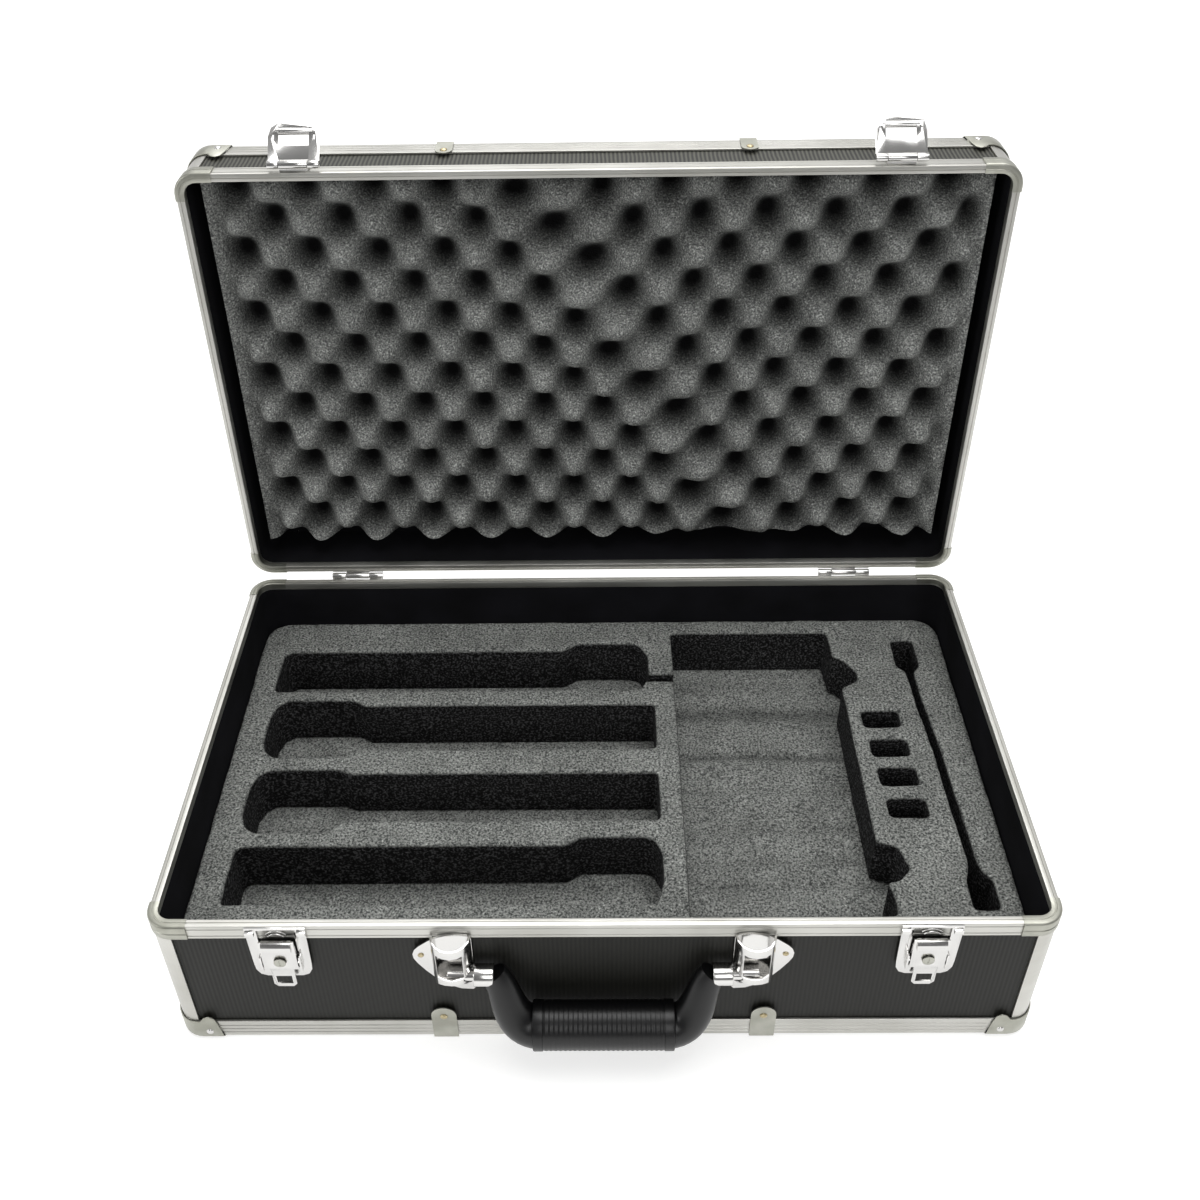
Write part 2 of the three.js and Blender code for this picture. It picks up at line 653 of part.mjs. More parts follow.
// Hanging straight down from its axis, before it is tilted.
function handleGrip() {
  const section = new THREE.Shape();
  section.absellipse(0, 0, 13, 14, 0, 2 * Math.PI);
  const core = new THREE.ExtrudeGeometry(section, {
    depth: 2 * GRIP_HALF_LENGTH - 3,
    bevelEnabled: true,
    bevelThickness: 1.5,
    bevelSize: 1.5,
    bevelOffset: -1.5,
    bevelSegments: 1,
    curveSegments: 12,
  });
  core.rotateX(Math.PI / 2).rotateZ(Math.PI / 2);
  core.translate(-GRIP_HALF_LENGTH + 1.5, 0, -HANDLE_DROP);
  const right = arm();
  return solid(core)
    .add(right)
    .add(right.mirror([1, 0, 0]))
    .rotate([-HANDLE_TILT_DEG, 0, 0])
    .translate([0, ahead(HANDLE_AXIS_OUT), HANDLE_AXIS_HEIGHT]);
}

for (const side of sides) {
  const mirrored = (part) => (side.sign < 0 ? part.mirror([1, 0, 0]) : part);
  add(caseGroup, "handle_bracket_" + side.name, mirrored(handleBracket()), "chrome");
  add(caseGroup, "handle_pivot_" + side.name, mirrored(handlePivot()), "chrome");
}
add(caseGroup, "handle_grip", handleGrip(), "grip");

caseGroup.name = "attache_case";

export default caseGroup;
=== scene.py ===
"""Aluminium attache case with a die-cut foam insert, standing open."""

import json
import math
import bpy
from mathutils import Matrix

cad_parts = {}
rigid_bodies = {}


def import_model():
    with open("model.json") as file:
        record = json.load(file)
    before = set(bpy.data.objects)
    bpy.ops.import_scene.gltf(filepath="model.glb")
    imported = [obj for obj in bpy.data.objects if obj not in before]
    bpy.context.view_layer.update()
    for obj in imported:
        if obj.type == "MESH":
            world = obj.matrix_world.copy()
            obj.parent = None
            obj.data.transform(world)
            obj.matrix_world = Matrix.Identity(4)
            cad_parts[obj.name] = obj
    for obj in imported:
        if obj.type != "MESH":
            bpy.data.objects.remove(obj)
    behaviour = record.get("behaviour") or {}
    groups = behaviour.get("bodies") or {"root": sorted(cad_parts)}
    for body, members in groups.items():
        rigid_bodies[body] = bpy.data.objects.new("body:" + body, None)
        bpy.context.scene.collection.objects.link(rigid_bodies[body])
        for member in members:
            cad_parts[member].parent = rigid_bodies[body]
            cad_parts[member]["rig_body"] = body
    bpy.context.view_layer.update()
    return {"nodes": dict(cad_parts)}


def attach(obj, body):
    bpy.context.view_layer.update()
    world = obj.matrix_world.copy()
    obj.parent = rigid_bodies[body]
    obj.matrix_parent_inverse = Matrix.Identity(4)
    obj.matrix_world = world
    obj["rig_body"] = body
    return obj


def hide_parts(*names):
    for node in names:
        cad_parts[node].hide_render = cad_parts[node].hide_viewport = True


bl_info = {
    "name": "Attache case",
    "version": (1, 0, 0),
    "blender": (4, 5, 0),
    "location": "View3D > Sidebar > Attache case",
    "description": "Finishes an aluminium attache case, its foam and its fittings",
    "category": "Object",
}

import bmesh
import bpy
from bpy.props import FloatProperty, FloatVectorProperty, IntProperty, PointerProperty
from mathutils import Matrix, Vector, noise

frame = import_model()

MM = 0.001

# Sizes of the closed case in millimetres. Each half's outside is measured from the parting plane.
HALF_WIDTH = 240.0
HALF_DEPTH = 142.5
CORNER_RADIUS = 13.0
CORNER_STEPS = 10
PARTING_HEIGHT = 101.0
LID_OUTSIDE = 46.0
BASE_OUTSIDE = 102.5
FRONT = -HALF_DEPTH
HINGE_Y = HALF_DEPTH + 3.2
OPEN_ANGLE = -91
FOAM_TOP = 64.3
LATCH_X = 171.0
CLIP_X = 89.0
BRACKET_RIVET_X = 96.5
BALL_RIVET_X = 222.5
BALL_RIVET_Y = 125.0
LID_FLOOR = 41.3
BASE_FLOOR = 97.5
HEAD_HEIGHT = 0.9
SIDES = (("left", -1), ("right", 1))
CORNERS = (
    ("rear_right", 1, 1),
    ("rear_left", -1, 1),
    ("front_right", 1, -1),
    ("front_left", -1, -1),
)


def lid_matrix():
    """From the closed lid, with heights from the parting plane, to the open lid's place."""
    return (
        Matrix.Translation((0, HINGE_Y, PARTING_HEIGHT))
        @ Matrix.Rotation(math.radians(OPEN_ANGLE), 4, "X")
        @ Matrix.Translation((0, -HINGE_Y, 0))
    )


# Each half is drawn the same way up, with heights from the parting plane to its outside.
HALVES = {
    "base": Matrix.Translation((0, 0, PARTING_HEIGHT)) @ Matrix.Diagonal((1, 1, -1, 1)),
    "lid": lid_matrix(),
}


# ---------------------------------------------------------------- materials
def srgb(code):
    """A hex colour as linear red, green, blue and alpha."""
    parts = [int(code[i : i + 2], 16) / 255 for i in (1, 3, 5)]
    return [c / 12.92 if c <= 0.04045 else ((c + 0.055) / 1.055) ** 2.4 for c in parts] + [1.0]


def add_node(tree, kind, settings=None, values=None, links=None):
    """Adds a node with its settings, its inputs' values and its links."""
    made = tree.nodes.new(kind)
    for key, value in (settings or {}).items():
        setattr(made, key, value)
    for key, value in (values or {}).items():
        made.inputs[key].default_value = value
    for key, source in (links or {}).items():
        tree.links.new(source, made.inputs[key])
    return made


def new_material(name, code, metallic, roughness, **sockets):
    """A material with its plain values set, and its tree, shader and object coordinates."""
    made = bpy.data.materials.new(name)
    made.use_nodes = True
    tree = made.node_tree
    shader = tree.nodes["Principled BSDF"]
    shader.inputs["Base Color"].default_value = srgb(code)
    shader.inputs["Metallic"].default_value = metallic
    shader.inputs["Roughness"].default_value = roughness
    for key, value in sockets.items():
        shader.inputs[key.replace("_", " ")].default_value = value
    place = add_node(tree, "ShaderNodeTexCoord").outputs["Object"]
    made.diffuse_color = srgb(code)
    return made, tree, shader, place


def two_tone(tree, place, scale, dark, light, low=0.35, high=0.65, detail=3.0):
    """A noise that runs between two colours, and the noise itself."""
    grain = add_node(
        tree, "ShaderNodeTexNoise", values={"Scale": scale, "Detail": detail}, links={"Vector": place}
    )
    ramp = add_node(tree, "ShaderNodeValToRGB", links={"Fac": grain.outputs["Fac"]})
    ramp.color_ramp.elements[0].position = low
    ramp.color_ramp.elements[0].color = srgb(dark)
    ramp.color_ramp.elements[1].position = high
    ramp.color_ramp.elements[1].color = srgb(light)
    return ramp, grain


def roughen(tree, shader, fac, low, high):
    """Lets a pattern run the roughness between two values."""
    spread = add_node(
        tree, "ShaderNodeMapRange", values={"To Min": low, "To Max": high}, links={"Value": fac}
    )
    tree.links.new(spread.outputs["Result"], shader.inputs["Roughness"])


def bump(tree, shader, height, distance, strength, under=None):
    """Raises a pattern by a distance in metres, over another bump where there is one."""
    made = add_node(
        tree,
        "ShaderNodeBump",
        values={"Distance": distance, "Strength": strength},
        links={"Height": height},
    )
    if under:
        tree.links.new(under.outputs["Normal"], made.inputs["Normal"])
    tree.links.new(made.outputs["Normal"], shader.inputs["Normal"])
    return made


def satin_aluminium():
    # Extruded and satin anodised: pale, slightly warm, with a soft streak along each length.
    made, tree, shader, place = new_material("satin anodised aluminium", "#c4c3bd", 1.0, 0.4)
    stretch = add_node(
        tree, "ShaderNodeMapping", values={"Scale": (0.05, 0.05, 1.0)}, links={"Vector": place}
    )
    streak = add_node(
        tree,
        "ShaderNodeTexNoise",
        values={"Scale": 900.0, "Detail": 2.0},
        links={"Vector": stretch.outputs["Vector"]},
    )
    tone, _ = two_tone(tree, place, 14.0, "#b3b2ac", "#c7c6c1")
    tree.links.new(tone.outputs["Color"], shader.inputs["Base Color"])
    roughen(tree, shader, streak.outputs["Fac"], 0.3, 0.5)
    bump(tree, shader, streak.outputs["Fac"], 0.00002, 0.5)
    return made


def pressed_steel():
    # Zinc-plated steel, pressed: greyer and greener than the extrusions, with faint mottling.
    made, tree, shader, place = new_material("zinc plated pressed steel", "#b0b0a6", 1.0, 0.42)
    tone, _ = two_tone(tree, place, 60.0, "#9b9b91", "#b3b3aa")
    tree.links.new(tone.outputs["Color"], shader.inputs["Base Color"])
    grit = add_node(tree, "ShaderNodeTexNoise", values={"Scale": 900.0}, links={"Vector": place})
    roughen(tree, shader, grit.outputs["Fac"], 0.32, 0.5)
    bump(tree, shader, grit.outputs["Fac"], 0.00003, 0.5)
    return made


def polished_nickel():
    # Nickel plate over pressed steel: mirror-bright, wavy where the press drew the sheet.
    made, tree, shader, place = new_material("polished nickel plate", "#d3d2d0", 1.0, 0.14)
    wave = add_node(
        tree, "ShaderNodeTexNoise", values={"Scale": 120.0, "Detail": 1.0}, links={"Vector": place}
    )
    roughen(tree, shader, wave.outputs["Fac"], 0.1, 0.22)
    bump(tree, shader, wave.outputs["Fac"], 0.00015, 0.35)
    return made


def ribbed_laminate(name, axis, groove="#11110e", crest="#1c1c18", waver=0.0):
    # Black ABS laminate embossed with ribs 2.4 mm apart, with painted shade: grooves coloured darker
    # than the barely paler crests.
    # Where the crests are much paler they carry a painted highlight, light catching the ribs, and the
    # ribs waver.
    made, tree, shader, place = new_material(name, crest, 0.0, 0.5, Specular_IOR_Level=0.22)
    rib_pitch = 2.4 * MM
    ribs = add_node(
        tree,
        "ShaderNodeTexWave",
        {"wave_type": "BANDS", "bands_direction": axis},
        {"Scale": 2 * math.pi / (20 * rib_pitch), "Distortion": waver, "Detail Scale": 0.3},
        {"Vector": place},
    )
    # Painted shade in the grooves, and a painted highlight on the crests where these are pale.
    tone = add_node(tree, "ShaderNodeValToRGB", links={"Fac": ribs.outputs["Fac"]})
    tone.color_ramp.elements[0].color = srgb(groove)
    tone.color_ramp.elements[1].color = srgb(crest)
    tree.links.new(tone.outputs["Color"], shader.inputs["Base Color"])
    leather = add_node(tree, "ShaderNodeTexNoise", values={"Scale": 700.0}, links={"Vector": place})
    under = bump(tree, shader, leather.outputs["Fac"], 0.00006, 0.4)
    bump(tree, shader, ribs.outputs["Fac"], 0.0003, 0.35, under)
    return made


def flocked_lining():
    # Flock on board: a blue-black that drinks the light.
    made, tree, shader, place = new_material(
        "black flocked lining", "#060609", 0.0, 0.95, Specular_IOR_Level=0.15
    )
    tone, nap = two_tone(tree, place, 30.0, "#040406", "#0c0c10")
    tree.links.new(tone.outputs["Color"], shader.inputs["Base Color"])
    bump(tree, shader, nap.outputs["Fac"], 0.0002, 0.3)
    return made


def speckled_foam(name, dark, light, grain, cut_height=None, pits=False):
    # Open-cell polyurethane foam: matt, with a few cells catching the light. The cells are under
    # 1 mm wide and are drawn a little coarser, so that they show.
    made, tree, shader, place = new_material(name, light, 0.0, 0.97, Specular_IOR_Level=0.2)
    tone, cells = two_tone(tree, place, grain, dark, light, 0.36, 0.64)
    glint, _ = two_tone(tree, place, 900.0, "#000000", "#b4b6b1", 0.62, 0.74, 1.0)
    patch, _ = two_tone(tree, place, 40.0, "#d8d8d8", "#ffffff", 0.3, 0.7)
    colour = add_node(
        tree,
        "ShaderNodeMix",
        {"data_type": "RGBA", "blend_type": "MULTIPLY"},
        {0: 1.0},
        {6: tone.outputs["Color"], 7: patch.outputs["Color"]},
    ).outputs[2]
    colour = add_node(
        tree,
        "ShaderNodeMix",
        {"data_type": "RGBA", "blend_type": "SCREEN"},
        {0: 0.6},
        {6: colour, 7: glint.outputs["Color"]},
    ).outputs[2]
    if cut_height is not None:
        # Below its top face the colour turns near black on the walls that the knife cut: painted
        # shade for the shadow on those walls.
        wall, _ = two_tone(tree, place, 700.0, "#060606", "#626263", 0.48, 0.78)
        height = add_node(tree, "ShaderNodeSeparateXYZ", links={"Vector": place}).outputs["Z"]
        face_start, face_end = 2.2 * MM, 0.6 * MM
        face = add_node(
            tree,
            "ShaderNodeMapRange",
            values={"From Min": cut_height - face_start, "From Max": cut_height - face_end},
            links={"Value": height},
        )
        colour = add_node(
            tree,
            "ShaderNodeMix",
            {"data_type": "RGBA"},
            links={0: face.outputs["Result"], 6: wall.outputs["Color"], 7: colour},
        ).outputs[2]
    if pits:
        # Painted shade: the colour darkens to near black at the bottom of each pit and dent, where
        # shade falls.
        depth = add_node(tree, "ShaderNodeAttribute", {"attribute_name": "painted_hollow_shade"})
        colour = add_node(
            tree,
            "ShaderNodeMix",
            {"data_type": "RGBA"},
            {7: srgb("#070708")},
            {0: depth.outputs["Fac"], 6: colour},
        ).outputs[2]
    tree.links.new(colour, shader.inputs["Base Color"])
    bump(tree, shader, cells.outputs["Fac"], 0.0009, 0.9)
    return made


def black_moulding():
    # Injection-moulded black ABS with a satin skin.
    made, tree, shader, place = new_material(
        "satin black ABS", "#050506", 0.0, 0.3, IOR=1.5, Specular_IOR_Level=0.4
    )
    grain = add_node(tree, "ShaderNodeTexNoise", values={"Scale": 1200.0}, links={"Vector": place})
    roughen(tree, shader, grain.outputs["Fac"], 0.26, 0.42)
    bump(tree, shader, grain.outputs["Fac"], 0.00003, 0.4)
    return made


def brass_rivet():
    # Tubular brass rivet, a little dulled.
    made, tree, shader, place = new_material("dulled brass", "#b5a887", 1.0, 0.35)
    tone, _ = two_tone(tree, place, 900.0, "#9f9270", "#c4b898")
    tree.links.new(tone.outputs["Color"], shader.inputs["Base Color"])
    return made


def pale_floor():
    # Milk-white acrylic lit from below, which keeps shadows faint. Its front end is dimmer.
    made, tree, shader, place = new_material("opal acrylic", "#c4c4c3", 0.0, 0.9)
    along = add_node(tree, "ShaderNodeSeparateXYZ", links={"Vector": place}).outputs["Y"]
    lit = add_node(
        tree,
        "ShaderNodeMapRange",
        {"interpolation_type": "SMOOTHSTEP"},
        {"From Min": -0.95, "From Max": -0.3},
        {"Value": along},
    ).outputs["Result"]
    ends = (("Base Color", "#808080", "#c4c4c3"), ("Emission Color", "#8a8a8a", "#ffffff"))
    for socket, dark, light in ends:
        tone = add_node(
            tree,
            "ShaderNodeMix",
            {"data_type": "RGBA"},
            {6: srgb(dark), 7: srgb(light)},
            {0: lit},
        )
        tree.links.new(tone.outputs[2], shader.inputs[socket])
    shader.inputs["Emission Strength"].default_value = 0.62
    return made


RECIPES = {
    "aluminium": satin_aluminium,
    "pressed_metal": pressed_steel,
    "nickel": polished_nickel,
    "panel_x": lambda: ribbed_laminate("laminate ribbed across x", "X"),
    "panel_y": lambda: ribbed_laminate("laminate ribbed across y", "Y"),
    "panel_z": lambda: ribbed_laminate("laminate ribbed across z", "Z"),
    # The lid's front is the same laminate with its crests painted much paler: a painted highlight on
    # the ribs.
    "panel_lid_lit_crests": lambda: ribbed_laminate("ribbed laminate with painted lit crests", "X", "#151513", "#4c4c45", 2.5),
    "lining": flocked_lining,
    "foam_cut": lambda: speckled_foam("die-cut foam", "#393b3a", "#969894", 760.0, FOAM_TOP * MM),
    "foam_pad": lambda: speckled_foam("foam pad", "#404241", "#9b9d99", 760.0, None, True),
    "foam_egg": lambda: speckled_foam("egg-crate foam", "#585959", "#a3a5a1", 900.0, None, True),
    "grip": black_moulding,
    "brass": brass_rivet,
    "floor": pale_floor,
}
_made = {}


def finish_of(key):
    """The material of a finish, made the first time it is asked for."""
    if key not in _made:
        _made[key] = RECIPES[key]()
    return _made[key]


# ---------------------------------------------------------------- making pieces
def keep(mesh, name, finish, body, smooth, stands_for=()):
    """Turns a bmesh in millimetres into a finished piece that rides on a body.

    Edges sharper than smooth, in degrees, stay sharp.
    """
    bmesh.ops.transform(mesh, matrix=Matrix.Scale(MM, 4), verts=mesh.verts)
    data = bpy.data.meshes.new(name)
    mesh.to_mesh(data)
    mesh.free()
    made = bpy.data.objects.new(name, data)
    bpy.context.scene.collection.objects.link(made)
    data.materials.append(finish_of(finish))
    data.shade_smooth()
    data.set_sharp_from_angle(angle=math.radians(smooth))
    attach(made, body)
    if stands_for:
        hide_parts(*stands_for)
    return made


def tidy(mesh, distance=0.001):
    """Merges doubles, then turns all faces outwards."""
    bmesh.ops.remove_doubles(mesh, verts=mesh.verts, dist=distance)
    bmesh.ops.recalc_face_normals(mesh, faces=mesh.faces)


def loop(mesh, points):
    """A closed loop of edges through points."""
    verts = [mesh.verts.new(p) for p in points]
    return [mesh.edges.new((verts[i], verts[i - 1])) for i in range(len(verts))]


def plate(mesh, points, thickness):
    """A flat outline given its thickness, which is a vector."""
    face = bmesh.ops.contextual_create(mesh, geom=loop(mesh, points))["faces"]
    made = bmesh.ops.extrude_face_region(mesh, geom=face)["geom"]
    verts = [g for g in made if isinstance(g, bmesh.types.BMVert)]
    bmesh.ops.translate(mesh, vec=thickness, verts=verts)


def ring_edges(ring):
    """The edges of a ring of vertices, each once and in order."""
    return list(dict.fromkeys(e for v in ring for e in v.link_edges))


def pull(mesh, edges, vector):
    """Extrudes a loop of edges and moves the new one."""
    made = bmesh.ops.extrude_edge_only(mesh, edges=edges)["geom"]
    verts = [g for g in made if isinstance(g, bmesh.types.BMVert)]
    bmesh.ops.translate(mesh, vec=vector, verts=verts)
    return [g for g in made if isinstance(g, bmesh.types.BMEdge)], verts


def draw_through(mesh, ring, sections):
    """Draws a ring of unit radius through sections in turn and closes both ends."""
    edges = ring_edges(ring)
    bmesh.ops.contextual_create(mesh, geom=edges)
    bmesh.ops.transform(mesh, matrix=sections[0], verts=ring)
    for before, section in zip(sections, sections[1:]):
        edges, ring = pull(mesh, edges, (0, 0, 0))
        bmesh.ops.transform(mesh, matrix=section @ before.inverted(), verts=ring)
    bmesh.ops.contextual_create(mesh, geom=edges)


def sweep_corner(mesh, profile, leg_x, leg_y, capped=False):
    """Sweeps a closed profile (inward, height) along the front, round the right corner and back."""
    start = HALF_WIDTH - leg_x
    turn = HALF_WIDTH - CORNER_RADIUS
    edges = loop(mesh, [(start, FRONT + s, h) for s, h in profile])
    if capped:
        bmesh.ops.contextual_create(mesh, geom=edges)
    edges, verts = pull(mesh, edges, (turn - start, 0, 0))
    spun = bmesh.ops.spin(
        mesh,
        geom=verts + edges,
        cent=(turn, FRONT + CORNER_RADIUS, 0),
        axis=(0, 0, 1),
        angle=math.pi / 2,
        steps=CORNER_STEPS,
        use_merge=False,
    )["geom_last"]
    edges = [g for g in spun if isinstance(g, bmesh.types.BMEdge)]
    edges, _ = pull(mesh, edges, (0, leg_y - CORNER_RADIUS, 0))
    if capped:
        bmesh.ops.contextual_create(mesh, geom=edges)


def mirrored_copy(mesh, axis):
    """Adds the mirror image of all there is, across the middle of X or Y."""
    made = bmesh.ops.duplicate(mesh, geom=mesh.verts[:] + mesh.edges[:] + mesh.faces[:])["geom"]
    verts = [g for g in made if isinstance(g, bmesh.types.BMVert)]
    size = (-1, 1, 1) if axis == "X" else (1, -1, 1)
    bmesh.ops.scale(mesh, vec=size, verts=verts)


def swept_ring(profile, half):
    """A closed profile swept all the way round the case."""
    mesh = bmesh.new()
    sweep_corner(mesh, profile, HALF_WIDTH, HALF_DEPTH)
    mirrored_copy(mesh, "X")
    mirrored_copy(mesh, "Y")
    bmesh.ops.transform(mesh, matrix=HALVES[half], verts=mesh.verts)
    tidy(mesh)
    return mesh


def refined(node, finish, rounding=0.25, segments=2, angle=28, smooth=32):
    """A CAD node's own shape with its sharp edges rounded, as on plated or pressed metal."""
    mesh = bmesh.new()
    mesh.from_mesh(frame["nodes"][node].data)
    bmesh.ops.transform(mesh, matrix=Matrix.Scale(1 / MM, 4), verts=mesh.verts)
    bmesh.ops.remove_doubles(mesh, verts=mesh.verts, dist=0.005)
    bmesh.ops.dissolve_limit(
        mesh, angle_limit=math.radians(2), verts=mesh.verts, edges=mesh.edges
    )
    sharp = [e for e in mesh.edges if e.is_manifold and e.calc_face_angle(0) > math.radians(angle)]
    bmesh.ops.bevel(
        mesh,
        geom=sharp,
        offset=rounding,
        offset_type="OFFSET",
        segments=segments,
        profile=0.5,
        affect="EDGES",
        clamp_overlap=True,
        material=-1,
    )
    body = frame["nodes"][node]["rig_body"]
    return keep(mesh, node + "_finished", finish, body, smooth, (node,))


def domed_rivet(mesh, centre, direction, radius):
    """A low domed head, half sunk in its fitting, that points along a direction."""
    made = bmesh.ops.create_uvsphere(mesh, u_segments=20, v_segments=10, radius=radius)["verts"]
    bmesh.ops.scale(mesh, vec=(1, 1, HEAD_HEIGHT / radius), verts=made)
    turn = Vector((0, 0, 1)).rotation_difference(Vector(direction)).to_matrix().to_4x4()
    bmesh.ops.transform(mesh, matrix=Matrix.Translation(centre) @ turn, verts=made)


# ---------------------------------------------------------------- sizes and colours
class AttacheSizes(bpy.types.PropertyGroup):
    """Sizes that a user may change"""

    egg_pitch_x: FloatProperty(
        name="Egg-crate pitch across",
        description="Distance between the pits of one row of the lid foam",
        default=0.038,
        min=0.02,
        max=0.08,
        subtype="DISTANCE",
        unit="LENGTH",
    )
    egg_pitch_y: FloatProperty(
        name="Egg-crate pitch along",
        description="Distance between two rows that are in step with each other",
        default=0.043,
        min=0.02,
        max=0.08,
        subtype="DISTANCE",
        unit="LENGTH",
    )
    foam_voxel: FloatProperty(
        name="Foam detail",
        description="Cell size used to round the die-cut foam's edges",
        default=0.0015,
        min=0.0012,
        max=0.006,
        subtype="DISTANCE",
        unit="LENGTH",
    )
    grip_ribs: IntProperty(
        name="Grip ribs",
        description="How many ribs run round the handle's grip",
        default=25,
        min=5,
        max=60,
    )


class AttacheLook(bpy.types.PropertyGroup):
    """Studio light that a user may change"""

    sky: FloatVectorProperty(
        name="Studio colour",
        description="Colour of the light that fills the studio",
        subtype="COLOR",
        size=3,
        default=(1.0, 1.0, 1.0),
        min=0.0,
        max=1.0,
    )
    fill: FloatProperty(
        name="Fill light",
        description="Brightness of the studio's all-round light",
        default=0.75,
        min=0.0,
        max=5.0,
    )


# ---------------------------------------------------------------- shell
# Section of the rim, as distance in from the outside and height from the parting plane.
RIM_PROFILE = (
    (1.1, 10.4), (0.15, 10.4), (0.0, 10.2), (0.0, 8.7), (0.3, 8.5), (0.3, 8.0), (0.0, 7.8),
    (0.0, 3.4), (0.3, 3.2), (0.3, 2.7), (0.0, 2.5), (0.0, 1.0), (0.2, 0.55), (0.6, 0.4),
    (2.0, 0.4), (2.2, 0.8), (2.7, 0.8), (2.9, 0.4), (4.3, 0.4), (4.65, 0.5), (4.8, 0.8),
    (4.8, 5.4), (4.0, 5.4), (4.0, 2.6), (1.1, 2.6),
)
# Section of the edge, as distance in from the outside and height in from the half's outer face.
EDGE_PROFILE = (
    (1.1, 15.0), (0.2, 15.0), (0.0, 14.8), (0.0, 11.3), (0.4, 11.0), (0.4, 10.5), (0.0, 10.2),
    (0.0, 8.1), (0.4, 7.8), (0.4, 7.3), (0.0, 7.0), (0.0, 4.9), (0.4, 4.6), (0.4, 4.1),
    (0.0, 3.8), (0.0, 1.7), (0.15, 1.0), (0.5, 0.45), (1.05, 0.12), (1.7, 0.0), (12.8, 0.0),
    (12.9, 0.1), (12.9, 1.2), (1.1, 1.2),
)
# Section of the pressed cap over a rim's corner, measured as the rim's.
CAP_PROFILE = (
    (-0.1, 10.35), (-0.65, 10.3), (-0.85, 10.0), (-0.85, 6.4), (-0.5, 6.1), (-0.5, 5.6),
    (-0.85, 5.3), (-0.85, 1.4), (-0.65, 0.7), (-0.2, 0.3), (0.4, 0.12), (1.9, 0.08),
    (2.1, 0.3), (2.5, 0.3), (2.7, 0.08), (4.6, 0.08), (5.0, 0.3), (5.1, 0.7), (5.1, 4.0),
    (4.9, 4.0), (4.9, 0.9), (4.6, 0.38), (0.4, 0.38), (-0.1, 0.9),
)
CAP_LEG_X, CAP_LEG_Y = 22, 16


class ATTACHE_OT_shell(bpy.types.Operator):
    """Rims, edge extrusions, corner posts and boards"""

    bl_idname = "attache.shell"
    bl_label = "Shell"

    def execute(self, context):
        for half, outside in (("base", BASE_OUTSIDE), ("lid", LID_OUTSIDE)):
            rim = swept_ring(RIM_PROFILE, half)
            keep(rim, half + "_rim_extrusion", "aluminium", half, 30, (half + "_rim",))
            edge = swept_ring([(inward, outside - rise) for inward, rise in EDGE_PROFILE], half)
            keep(edge, half + "_edge_extrusion", "aluminium", half, 30, (half + "_edge_frame",))
            for corner, _, _ in CORNERS:
                refined(f"{half}_post_{corner}", "aluminium", 0.15, 1, 60)
            across = "panel_y" if half == "base" else "panel_z"
            self.cover(half + "_front_panel", "panel_x" if half == "base" else "panel_lid_lit_crests")
            self.cover(half + "_rear_panel", "panel_x")
            self.cover(half + "_left_panel", across)
            self.cover(half + "_right_panel", across)
        self.cover("base_bottom_panel", "panel_x")
        self.cover("lid_top_panel", "panel_x")
        return {"FINISHED"}

    def cover(self, node, finish):
        """Gives a board of the CAD its laminate."""
        materials = frame["nodes"][node].data.materials
        materials.clear()
        materials.append(finish_of(finish))


class ATTACHE_OT_corners(bpy.types.Operator):
    """Pressed rim corners and ball corners, with their rivets"""

    bl_idname = "attache.corners"
    bl_label = "Corners"

    def execute(self, context):
        for half, outside in (("base", BASE_OUTSIDE), ("lid", LID_OUTSIDE)):
            for corner, x, y in CORNERS:
                self.rim_cap(half, corner, x, y)
                refined(f"{half}_ball_corner_{corner}", "pressed_metal", 0.4, 2, 30)
                self.rivets(half, corner, x, y, outside)
        return {"FINISHED"}

    def rim_cap(self, half, corner, x, y):
        """A pressed cap bent round one corner of a rim."""
        mesh = bmesh.new()
        sweep_corner(mesh, CAP_PROFILE, CAP_LEG_X, CAP_LEG_Y, capped=True)
        bmesh.ops.scale(mesh, vec=(x, -y, 1), verts=mesh.verts)
        bmesh.ops.transform(mesh, matrix=HALVES[half], verts=mesh.verts)
        tidy(mesh)
        node = f"{half}_rim_corner_{corner}"
        keep(mesh, node + "_cap", "pressed_metal", half, 40, (node,))

    def rivets(self, half, corner, x, y, outside):
        """The two rivets of a ball corner."""
        mesh = bmesh.new()
        height = outside - 6.5
        proud, radius = 1.1, 2.1
        domed_rivet(mesh, (x * BALL_RIVET_X, y * (HALF_DEPTH + proud), height), (0, y, 0), radius)
        domed_rivet(mesh, (x * (HALF_WIDTH + proud), y * BALL_RIVET_Y, height), (x, 0, 0), radius)
        bmesh.ops.transform(mesh, matrix=HALVES[half], verts=mesh.verts)
        tidy(mesh)
        keep(mesh, f"{half}_corner_rivets_{corner}", "nickel", half, 40)


# ---------------------------------------------------------------- linings and foam
class ATTACHE_OT_linings(bpy.types.Operator):
    """Flocked boards that line the base and the lid"""

    bl_idname = "attache.linings"
    bl_label = "Linings"

    def execute(self, context):
        for half, floor in (("base", BASE_FLOOR), ("lid", LID_FLOOR)):
            wall = [(3.8, 5.7), (4.9, 5.7), (5.0, 5.9), (5.0, floor), (3.8, floor)]
            keep(swept_ring(wall, half), half + "_wall_lining", "lining", half, 40)
        mesh = bmesh.new()
        corners = ((-235, -137), (235, -137), (235, 137), (-235, 137))
        plate(mesh, [(x, y, LID_FLOOR) for x, y in corners], (0, 0, -0.5))
        bmesh.ops.transform(mesh, matrix=HALVES["lid"], verts=mesh.verts)
        tidy(mesh)
        keep(mesh, "lid_top_lining", "lining", "lid", 40)
        return {"FINISHED"}


